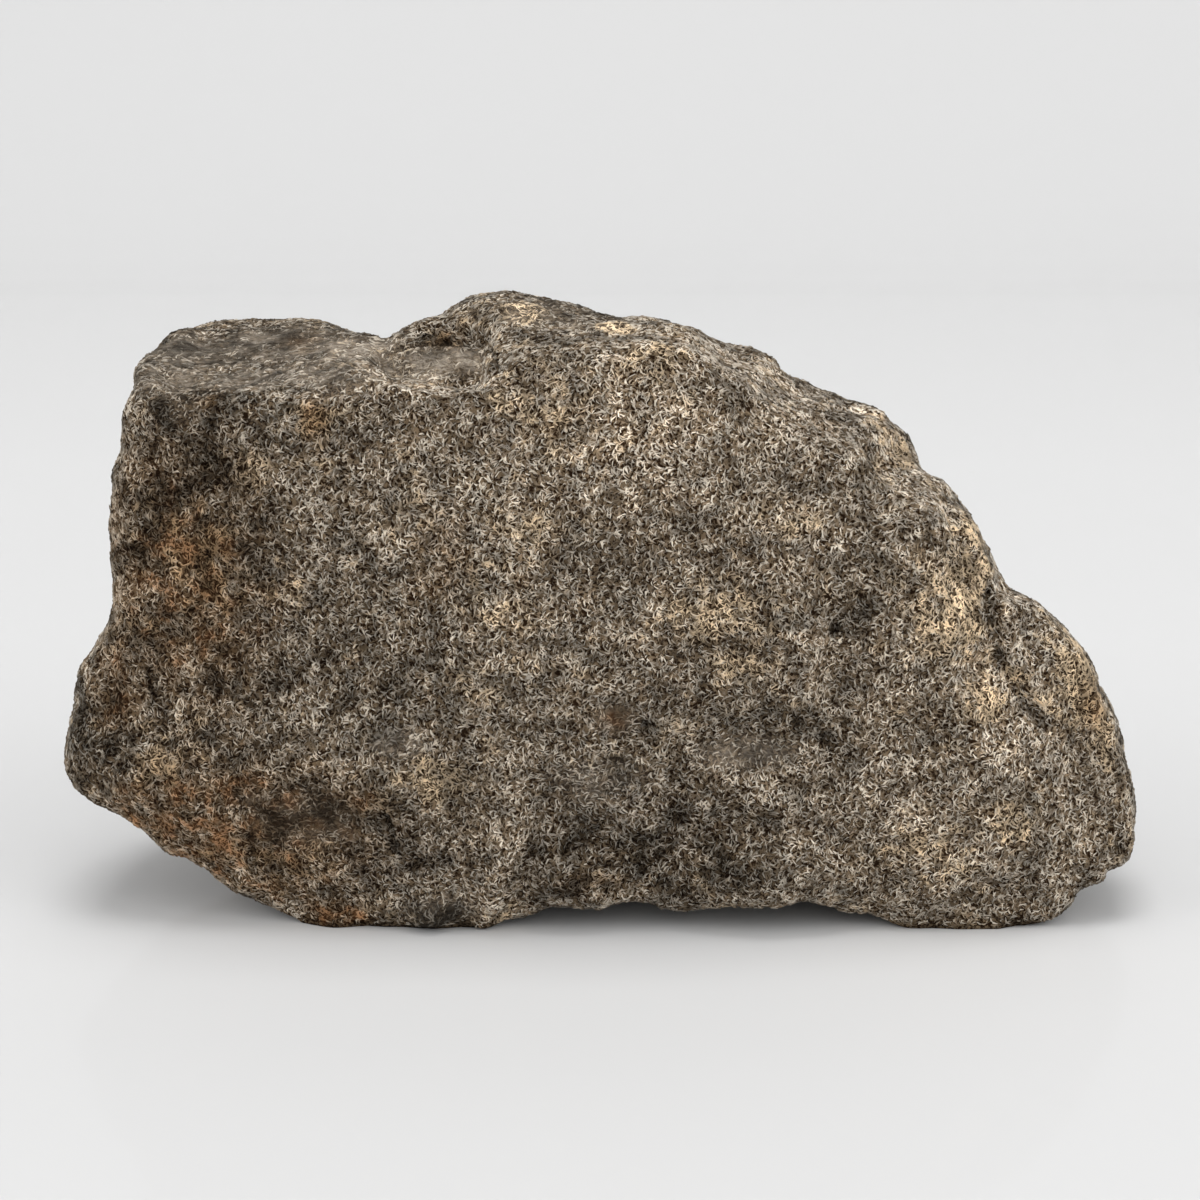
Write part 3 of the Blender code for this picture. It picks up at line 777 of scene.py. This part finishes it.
def blend_colour(tree, share, first, second, way="MIX"):
    """Mixes two colours."""
    inputs = {0: share, 6: first, 7: second}
    made = place_node(tree, "ShaderNodeMix", inputs, data_type="RGBA", blend_type=way)
    return made.outputs[2]


def washed(tree, colour, share, strength, over):
    """The colour with another washed over it, where the share says and as strong as given."""
    return blend_colour(tree, maths(tree, "MULTIPLY", share, strength), colour, over)


def mask_of(tree, name):
    """A mask or a tone that the points carry."""
    return place_node(tree, "ShaderNodeAttribute", attribute_name=name).outputs["Fac"]


def threads(tree, vector, per_mm, width):
    """Thin curved lines: 1 where a noise crosses its middle value, 0 beside it."""
    off = maths(tree, "ABSOLUTE", maths(tree, "SUBTRACT", cloud(tree, vector, per_mm), 0.5))
    return ranged(tree, off, width, 0.0)


# %% Colours of the skin
# The first colour is near black: painted shade in the pores; the second is the dark brown stone between
# them.
PORE_SHADE, BETWEEN = (0.018, 0.009, 0.004, 1), (0.145, 0.104, 0.064, 1)
THREAD = (0.30, 0.25, 0.19, 1)
TAN = (0.64, 0.495, 0.325, 1)
RUST, RUSTY_GROUND = (0.365, 0.222, 0.125, 1), (0.090, 0.045, 0.022, 1)
RUST_TINT = (1.04, 0.87, 0.70, 1)
RUBBED_LOW, RUBBED = (0.085, 0.066, 0.047, 1), (0.300, 0.262, 0.215, 1)
DARKEST = 0.24  # the least that a colour is multiplied by


# %% Tints shared by the skin and its grains
def tints_of(tree, place):
    """How tan, how rusty and how light the stone is here, from the masks and slow noise; the lightness
    includes painted light and shade.
    """
    slow = cloud(tree, place, 0.55, 3.0, 0.6)
    fine = cloud(tree, place, 1.5, 3.0, 0.6)
    tan = maths(tree, "MULTIPLY_ADD", fine, 2.6, mask_of(tree, "tan"))
    tan = ranged(tree, tan, 1.15, 2.55)
    rust = maths(tree, "MULTIPLY_ADD", cloud(tree, place, 1.1, 4.0, 0.65), 2.6, mask_of(tree, "rust"))
    rust = ranged(tree, rust, 1.70, 2.80)
    mottle = maths(tree, "MULTIPLY", cloud(tree, place, 0.9, 2.0), 1.3)
    mottle = maths(tree, "MULTIPLY_ADD", slow, 1.2, mottle)
    shade = ranged(tree, mottle, 0.95, 1.55, 0.59, 1.31)
    # The dark mask adds painted shade and the pale mask painted light, along with the stone's own tone.
    shade = maths(tree, "MULTIPLY_ADD", mask_of(tree, "dark"), -0.60, shade)
    shade = maths(tree, "MULTIPLY_ADD", mask_of(tree, "pale"), 0.62, shade)
    shade = maths(tree, "MULTIPLY_ADD", mask_of(tree, "smooth"), -0.08, shade)
    return tan, rust, maths(tree, "MAXIMUM", shade, DARKEST)


def shaded_by(tree, colour, shade):
    """The colour times a number that holds painted light and shade, browner where the stone is rusty."""
    colour = blend_colour(tree, mask_of(tree, "rust"), colour, RUST_TINT, "MULTIPLY")
    grey = place_node(tree, "ShaderNodeCombineColor", {0: shade, 1: shade, 2: shade}).outputs[0]
    return blend_colour(tree, 1.0, colour, grey, "MULTIPLY")


# %% The ground between the grains, with painted shade in its pores
tree, shader, place = start_finish(skin_finish)
bent = stirred(tree, place, 4.0, 0.25)
fine_threads = threads(tree, bent, 3.6, 0.060)
broken = ranged(tree, cloud(tree, place, 2.0, 2.0), 0.38, 0.60, 0.2, 0.8)
grain = maths(tree, "MULTIPLY", fine_threads, broken)
pores = ranged(tree, cloud(tree, bent, 6.5, 2.0, 0.6), 0.46, 0.57)
smooth = mask_of(tree, "smooth")
tan, rust, shade = tints_of(tree, place)

ground = blend_colour(tree, pores, PORE_SHADE, BETWEEN)
stretched = {0: bent, 1: (0.5, 1.0, 2.4)}  # the rubbed streaks lie along the stone
stretched = place_node(tree, "ShaderNodeVectorMath", stretched, operation="MULTIPLY").outputs[0]
streaks = ranged(tree, cloud(tree, stretched, 4.0, 3.0, 0.65), 0.32, 0.66)
rubbed = blend_colour(tree, streaks, RUBBED_LOW, RUBBED)
ground = washed(tree, ground, smooth, 0.85, rubbed)
ground = washed(tree, ground, rust, 0.7, RUSTY_GROUND)
top = blend_colour(tree, tan, THREAD, TAN)
top = washed(tree, top, rust, 0.8, RUST)
colour = shaded_by(tree, washed(tree, ground, grain, 0.75, top), shade)

# %% Join the pattern to the shader
tree.links.new(colour, shader.inputs["Base Color"])
tree.links.new(ranged(tree, grain, 0.0, 1.0, 0.92, 0.72), shader.inputs["Roughness"])
shader.inputs["Specular IOR Level"].default_value = 0.06
relief = maths(tree, "MULTIPLY_ADD", pores, 0.7, grain)
bump = {"Height": relief, "Distance": 0.045 * MM, "Strength": 1.0}
tree.links.new(place_node(tree, "ShaderNodeBump", bump).outputs[0], shader.inputs["Normal"])
print("weathered skin made of", len(tree.nodes), "nodes")

# %% [markdown]
# ## The finish of the saw cut
# The photograph doesn't show the sawn side, so it is finished as such cuts are: fine grey-brown
# stone with round pale beads of two sizes, bright flecks of metal that each have a little rust
# round them, two thin dark veins, a darker weathered band inside the rim, and the faint lines
# that the saw left. Beads and flecks are cells of a Voronoi texture, each cut to a round of its
# own size. A vein is where stirred coordinates cross one plane, so it wanders as a crack does.


# %% A helper for round grains of many sizes
def round_grains(tree, vector, per_mm, smallest, largest):
    """How far inside a grain each place is, negative between them, and each grain's numbers."""
    cells = {"Vector": stirred(tree, vector, 1.5, 0.22), "Scale": per_mm, "Randomness": 1.0}
    cells = place_node(tree, "ShaderNodeTexVoronoi", cells, feature="F1").outputs
    numbers = place_node(tree, "ShaderNodeSeparateColor", {0: cells["Color"]}).outputs
    radius = maths(tree, "MULTIPLY_ADD", numbers[1], largest - smallest, smallest)
    return maths(tree, "SUBTRACT", radius, cells["Distance"]), numbers


# %% Colours of the saw cut
MATRIX_DARK, MATRIX_PALE = (0.048, 0.040, 0.031, 1), (0.175, 0.152, 0.122, 1)
STAIN = (0.125, 0.075, 0.040, 1)
BEAD_DARK, BEAD_PALE = (0.055, 0.046, 0.036, 1), (0.270, 0.240, 0.195, 1)
BEAD_EDGE = (0.030, 0.023, 0.017, 1)
METAL, METAL_RUST = (0.50, 0.48, 0.44, 1), (0.175, 0.080, 0.034, 1)
VEIN = (0.060, 0.032, 0.016, 1)
RIM = (0.040, 0.028, 0.020, 1)

# %% Matrix and beads
BEADS = ((2.6, 0.05, 0.46, 0.55), (1.25, -0.10, 0.42, 0.85))  # per mm, two radii, how clear

tree, shader, place = start_finish(cut_finish)
fine = cloud(tree, place, 5.0, 4.0, 0.7)
matrix = blend_colour(tree, fine, MATRIX_DARK, MATRIX_PALE)
stain = ranged(tree, cloud(tree, place, 0.16, 4.0, 0.65), 0.42, 0.66)
stone_colour = washed(tree, matrix, stain, 0.6, STAIN)
for per_mm, smallest, largest, shown in BEADS:
    inside, numbers = round_grains(tree, place, per_mm, smallest, largest)
    bead_colour = blend_colour(tree, numbers[0], BEAD_DARK, BEAD_PALE)
    bead_colour = blend_colour(tree, 0.35, bead_colour, matrix)
    edge = ranged(tree, maths(tree, "ABSOLUTE", inside), 0.06, 0.0)
    stone_colour = washed(tree, stone_colour, ranged(tree, inside, 0.0, 0.07), shown, bead_colour)
    stone_colour = washed(tree, stone_colour, edge, 0.35, BEAD_EDGE)

# %% Veins, metal flecks and rust
VEINS = (((0.90, 0.0, 0.44), 9.0), ((-0.35, 0.0, 0.94), 19.5))  # way across it, mm from the origin
VEIN_HALF_WIDTH = 0.07

reach, _ = round_grains(tree, stirred(tree, place, 3.0, 0.5), 1.5, -0.30, 0.30)
metal = ranged(tree, reach, 0.02, 0.06)
halo = ranged(tree, reach, -0.22, 0.04)
broken = ranged(tree, cloud(tree, place, 0.8, 3.0), 0.3, 0.6)
rim = maths(tree, "MULTIPLY", mask_of(tree, "rim"), broken)
wavy = stirred(tree, place, 0.22, 6.0)
vein = 0.0
for way, off in VEINS:
    dot = place_node(tree, "ShaderNodeVectorMath", {0: wavy, 1: way}, operation="DOT_PRODUCT")
    away_from_it = maths(tree, "SUBTRACT", dot.outputs["Value"], off)
    away_from_it = maths(tree, "ABSOLUTE", away_from_it)
    vein = maths(tree, "MAXIMUM", vein, ranged(tree, away_from_it, VEIN_HALF_WIDTH, 0.0))
stone_colour = washed(tree, stone_colour, halo, 0.55, METAL_RUST)
stone_colour = washed(tree, stone_colour, vein, 0.7, VEIN)
stone_colour = washed(tree, stone_colour, rim, 0.75, RIM)
stone_colour = blend_colour(tree, metal, stone_colour, METAL)
tree.links.new(stone_colour, shader.inputs["Base Color"])
tree.links.new(metal, shader.inputs["Metallic"])
tree.links.new(ranged(tree, metal, 0.0, 1.0, 0.55, 0.34), shader.inputs["Roughness"])

# %% Saw lines
saw = {"Vector": place, "Scale": 1.3, "Distortion": 1.2, "Detail": 2.0, "Detail Scale": 0.3}
lines = place_node(tree, "ShaderNodeTexWave", saw, bands_direction="DIAGONAL").outputs["Fac"]
worked = maths(tree, "MULTIPLY_ADD", cloud(tree, place, 6.0, 2.0), 0.5, lines)
bump = {"Height": worked, "Distance": 0.006 * MM, "Strength": 1.0}
tree.links.new(place_node(tree, "ShaderNodeBump", bump).outputs[0], shader.inputs["Normal"])
print("saw cut made of", len(tree.nodes), "nodes")

# %% The band inside the rim of the saw cut
SHARP_FROM = math.radians(50)

natural_points = set()
for polygon in skin.data.polygons:
    if polygon.material_index == 0:
        natural_points.update(polygon.vertices)
natural = np.zeros(len(points))
natural[sorted(natural_points)] = 1.0
skin.data.attributes.new("rim", "FLOAT", "POINT").data.foreach_set("value", natural)
skin.data.set_sharp_from_angle(angle=SHARP_FROM)
print(len(natural_points), "of", len(points), "points lie on the natural skin or the rim")

# %% [markdown]
# ## The grains
# The real skin is a felt of thin pale crystals, each a third of a millimetre long, that stand
# out of the darker ground. A texture alone looks printed on, so the crystals are real shapes.
# Geometry Nodes scatter points over the skin, more where it is rough and none on the saw cut or
# the feet, and put one small bent ridge on each, turned at random in the surface. The masks
# travel with the points, so the grains know where they are tan, rusty or dark. They are made in
# four lots with a seed each, because one piece may hold only so many triangles.

# %% One grain: a bent ridge of eight triangles, one unit long
BEND = 0.75  # how far the ends lie to one side
TOP_AT, NEAR_FOOT_AT = 0.27, 0.32  # how far from the middle, along the grain
TIP_HEIGHT, TOP_HEIGHT, FOOT_HEIGHT = -0.2, 0.5, -0.45  # the feet are sunk in the skin

bow = BEND * 0.5
tips = [(-0.5, -BEND, TIP_HEIGHT), (0.5, -BEND, TIP_HEIGHT)]
tops = [(-TOP_AT, bow, TOP_HEIGHT), (TOP_AT, bow, TOP_HEIGHT)]
near_feet = [(-NEAR_FOOT_AT, bow - 0.5, FOOT_HEIGHT), (NEAR_FOOT_AT, bow - 0.5, FOOT_HEIGHT)]
far_feet = [(-TOP_AT, bow + 0.5, FOOT_HEIGHT), (TOP_AT, bow + 0.5, FOOT_HEIGHT)]
corners = [tips[0], *tops, tips[1], *near_feet, *far_feet]
sides = [(0, 4, 1), (0, 1, 6), (4, 5, 2), (4, 2, 1), (1, 2, 7), (1, 7, 6), (3, 2, 5), (3, 7, 2)]
ridge = bpy.data.meshes.new("grain")
ridge.from_pydata(corners, [], sides)
ridge.shade_smooth()
grain_shape = bpy.data.objects.new("grain", ridge)
print("one grain:", triangles_in(grain_shape), "triangles")

# %% The scatter as a tree of nodes
GRAINS = {
    "Grains per mm2": 12.0,
    "Length": 0.33 * MM,
    "Width": 0.088 * MM,
    "Height": 0.080 * MM,
    "Seed": 0,
}
grain_finish = bpy.data.materials.new("pale_grains")
scatter_tree, given = geometry_tree("grain_scatter", GRAINS)


def random_in(low, high, own_seed, kind="FLOAT"):
    """A random value for each grain, from a seed that no other value shares."""
    low_name, high_name = ("Min", "Max") if kind == "FLOAT_VECTOR" else (2, 3)
    seed = maths(scatter_tree, "ADD", given["Seed"], own_seed)
    inputs = {low_name: low, high_name: high, "Seed": seed}
    made = place_node(scatter_tree, "FunctionNodeRandomValue", inputs, data_type=kind)
    return made.outputs[0 if kind == "FLOAT_VECTOR" else 1]


def carried(name):
    """A number that the skin's points carry."""
    kind = "GeometryNodeInputNamedAttribute"
    return place_node(scatter_tree, kind, {"Name": name}, data_type="FLOAT").outputs[0]


def turned_by(rotation, axis, angle):
    """A rotation, turned further about one of its own axes."""
    step = {"Axis": axis, "Angle": angle}
    step = place_node(scatter_tree, "FunctionNodeAxisAngleToRotation", step).outputs[0]
    both = {"Rotation": rotation, "Rotate By": step}
    settings = {"rotation_space": "LOCAL"}
    return place_node(scatter_tree, "FunctionNodeRotateRotation", both, **settings).outputs[0]


# %% One point for each grain, where the skin is grainy
density = maths(scatter_tree, "MULTIPLY", given["Grains per mm2"], 1 / MM**2)
density = maths(scatter_tree, "MULTIPLY", density, carried("grainy"))
spread = {"Mesh": given["Geometry"], "Density": density, "Seed": given["Seed"]}
spread = place_node(scatter_tree, "GeometryNodeDistributePointsOnFaces", spread).outputs

# %% Turn and size them: mostly up and down, but level where the stone is rubbed smooth
TURN, TILT = 1.45, 0.30  # radians either way
SMALLEST, LARGEST = (0.40, 0.6, 0.6), (1.60, 1.5, 1.3)  # times the length, width and height

upright = maths(scatter_tree, "MULTIPLY_ADD", carried("smooth"), -math.pi / 2, math.pi / 2)
turn = maths(scatter_tree, "ADD", random_in(-TURN, TURN, 11), upright)
turned = turned_by(spread["Rotation"], (0.0, 0.0, 1.0), turn)
turned = turned_by(turned, (0.0, 1.0, 0.0), random_in(-TILT, TILT, 23))

size = {0: given["Length"], 1: given["Width"], 2: given["Height"]}
size = place_node(scatter_tree, "ShaderNodeCombineXYZ", size).outputs[0]
size = {0: size, 1: random_in(SMALLEST, LARGEST, 37, "FLOAT_VECTOR")}
size = place_node(scatter_tree, "ShaderNodeVectorMath", size, operation="MULTIPLY").outputs[0]

# %% Put a grain on each point, give it its tone and make it real
shape = place_node(scatter_tree, "GeometryNodeObjectInfo", {"Object": grain_shape}).outputs["Geometry"]
many = {"Points": spread["Points"], "Instance": shape, "Rotation": turned, "Scale": size}
many = place_node(scatter_tree, "GeometryNodeInstanceOnPoints", many).outputs[0]
tone = {"Geometry": many, "Name": "tone", "Value": random_in(0.0, 1.0, 53)}
settings = {"data_type": "FLOAT", "domain": "INSTANCE"}
many = place_node(scatter_tree, "GeometryNodeStoreNamedAttribute", tone, **settings).outputs[0]
many = place_node(scatter_tree, "GeometryNodeRealizeInstances", {0: many}).outputs[0]
many = {"Geometry": many, "Material": grain_finish}
many = place_node(scatter_tree, "GeometryNodeSetMaterial", many).outputs[0]
place_node(scatter_tree, "NodeGroupOutput", {"Geometry": many})
print("scatter made of", len(scatter_tree.nodes), "nodes")

# %% Scatter them in four lots, each one piece
SEEDS = (3, 103, 203, 303)  # one for each lot
CLEAR_OF_FLATS = 0.35 * MM
FEWER_WHERE_SMOOTH, FEWER_WHERE_DARK, FEWER_BEHIND, FEWEST = 0.85, 0.2, 0.3, 0.1

clear = (points[:, 1] < sawn_depth - CLEAR_OF_FLATS) & (points[:, 2] > CLEAR_OF_FLATS)
share = 1.0 - FEWER_WHERE_SMOOTH * masks["smooth"] - FEWER_WHERE_DARK * masks["dark"]
share = clear * np.clip(share, FEWEST, 1) * (1.0 - FEWER_BEHIND * hidden)
skin.data.attributes.new("grainy", "FLOAT", "POINT").data.foreach_set("value", share)
lots = []
for lot, seed in enumerate(SEEDS):
    source = bpy.data.objects.new("grain_source", skin.data)
    bpy.context.scene.collection.objects.link(source)
    use_tree(source, scatter_tree, {**GRAINS, "Seed": seed})
    lots.append(made_plain(source, f"grains_{lot + 1}"))
    print(lots[-1].name, triangles_in(lots[-1]), "triangles")
bpy.data.objects.remove(grain_shape)

# %% [markdown]
# ## The finish of the grains
# Each grain has one tone, given by the random number that it got when it was placed, and the
# masks turn it tan, rusty, darker or paler as they do the skin between the grains; the darker and
# paler are partly painted shade and painted light. The tones run from pale grey to brown, which
# keeps the felt from looking combed. A slow noise makes clumps of them lighter or darker.

# %% Tone, tint and a dull surface
GRAIN_DARK, GRAIN_PALE = (0.18, 0.130, 0.082, 1), (0.60, 0.540, 0.452, 1)
GRAIN_RUBBED = (0.27, 0.235, 0.19, 1)

tree, shader, place = start_finish(grain_finish)
tone = mask_of(tree, "tone")
other_tone = maths(tree, "FRACT", maths(tree, "MULTIPLY", tone, 17.3))
colour = blend_colour(tree, ranged(tree, tone, 0.0, 1.0), GRAIN_DARK, GRAIN_PALE)
tan, rust, shade = tints_of(tree, place)
clumps = ranged(tree, cloud(tree, place, 2.2, 2.0, 0.6), 0.34, 0.64, 0.74, 1.20)
shade = maths(tree, "MULTIPLY", shade, clumps)
tan = ranged(tree, maths(tree, "MULTIPLY_ADD", other_tone, 0.22, tan), 0.18, 1.05)
rust = ranged(tree, maths(tree, "MULTIPLY_ADD", other_tone, 0.25, rust), 0.25, 1.00)
colour = washed(tree, colour, tan, 0.85, TAN)
colour = washed(tree, colour, rust, 0.80, RUST)
colour = washed(tree, colour, mask_of(tree, "smooth"), 0.7, GRAIN_RUBBED)
colour = shaded_by(tree, colour, shade)
tree.links.new(colour, shader.inputs["Base Color"])
tree.links.new(ranged(tree, tone, 0.0, 1.0, 0.85, 0.65), shader.inputs["Roughness"])
shader.inputs["Specular IOR Level"].default_value = 0.12
print("grains' finish made of", len(tree.nodes), "nodes")

# %% [markdown]
# ## Stage, light and the last checks
# The stone stands on a plain, pale, slightly glossy sheet that curves up behind it. A large
# soft light hangs over the camera, a little to the right, so the shadow falls behind the stone.
# Another hangs straight above, and one at each side keeps the floor pale under the two ends. The
# glossy sheet mirrors the stone but not the lights, and the pale world fills the shadows.

# %% The curved sheet
SHEET_FRONT, SHEET_BEND, SHEET_TOP, SHEET_HALF = -2.0, 0.25, 0.9, 2.0  # metres
SHEET_RADIUS, SHEET_STEPS = 0.15, 16

profile = [(SHEET_FRONT, 0.0)]
for step in range(SHEET_STEPS + 1):
    turn = math.radians(90) * step / SHEET_STEPS
    profile.append((SHEET_BEND + SHEET_RADIUS * math.sin(turn), SHEET_RADIUS * (1 - math.cos(turn))))
profile.append((SHEET_BEND + SHEET_RADIUS, SHEET_TOP))
sheet_mesh = bpy.data.meshes.new("sheet")
corners = [(side * SHEET_HALF, y, z) for y, z in profile for side in (-1, 1)]
strips = [(2 * n, 2 * n + 1, 2 * n + 3, 2 * n + 2) for n in range(len(profile) - 1)]
sheet_mesh.from_pydata(corners, [], strips)
sheet_mesh.shade_smooth()
sheet = bpy.data.objects.new("sheet", sheet_mesh)
bpy.context.scene.collection.objects.link(sheet)
sheet_finish = bpy.data.materials.new("pale_sheet")
sheet_finish.use_nodes = True
sheet_shader = sheet_finish.node_tree.nodes["Principled BSDF"]
sheet_shader.inputs["Base Color"].default_value = (0.64, 0.64, 0.64, 1)
sheet_shader.inputs["Roughness"].default_value = 0.06
sheet_shader.inputs["Specular IOR Level"].default_value = 0.03
sheet_mesh.materials.append(sheet_finish)
print("sheet:", len(strips), "strips")


# %% The lights
def soft_light(name, place, size, watts):
    """A square white area light that faces the stone; its place and size are in metres."""
    lamp = bpy.data.lights.new(name, "AREA")
    lamp.shape, lamp.size, lamp.size_y = "RECTANGLE", size, size
    lamp.energy = watts
    holder = bpy.data.objects.new(name, lamp)
    holder.location = place
    holder.rotation_euler = (Vector(place) - TARGET).to_track_quat("Z", "Y").to_euler()
    holder.visible_glossy = False
    bpy.context.scene.collection.objects.link(holder)


soft_light("front_light", (0.10, -0.60, 0.60), 1.00, 3.2)
soft_light("top_light", (0.0, 0.0, 0.80), 0.40, 2.9)
soft_light("left_light", (-0.62, -0.20, 0.28), 0.50, 2.1)
soft_light("right_light", (0.62, -0.20, 0.28), 0.50, 2.1)

# %% The world
WORLD_LIGHT, WORLD_SEEN = 0.30, 0.80  # it is seen past the sheet's edge only from the sides

world = bpy.data.worlds.new("pale_world")
world.use_nodes = True
background = world.node_tree.nodes["Background"]
background.inputs["Color"].default_value = (1.0, 1.0, 1.0, 1)
seen = place_node(world.node_tree, "ShaderNodeLightPath").outputs["Is Camera Ray"]
strength = maths(world.node_tree, "MULTIPLY_ADD", seen, WORLD_SEEN - WORLD_LIGHT, WORLD_LIGHT)
world.node_tree.links.new(strength, background.inputs["Strength"])
bpy.context.scene.world = world
bpy.context.scene.view_settings.view_transform = "Standard"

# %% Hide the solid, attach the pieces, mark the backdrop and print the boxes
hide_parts("stone")
for piece in (skin, *lots):
    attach(piece, "root")
sheet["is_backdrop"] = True

look_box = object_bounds()
sizes = {"cad": [list(corner) for corner in cad_box], "look": [list(corner) for corner in look_box]}
for name, box in sizes.items():
    print(name, "box, mm:", [[round(v / MM, 2) for v in corner] for corner in box])
